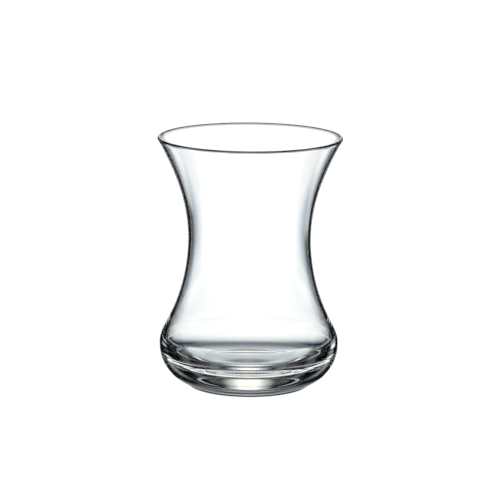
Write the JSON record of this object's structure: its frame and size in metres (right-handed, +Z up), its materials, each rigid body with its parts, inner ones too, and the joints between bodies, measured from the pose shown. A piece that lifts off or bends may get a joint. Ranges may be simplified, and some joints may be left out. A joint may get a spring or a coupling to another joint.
{
  "type": "tea glass",
  "caption": "Empty clear tulip-shaped tea glass: flared rim, pinched waist, round belly and a heavy rounded base that stands on a flat ring.",
  "frame": {"origin": "centre of the foot, on the surface that the glass stands on", "axes": "+Z up along the axis of the glass; X and Y are alike, because the glass is round"},
  "size_m": [0.0624, 0.0624, 0.085],
  "materials": {
    "clear_glass": "clear, smooth, fire-polished"
  },
  "bodies": {
    "root": {"tea_glass": "clear_glass"}
  },
  "joints": []
}
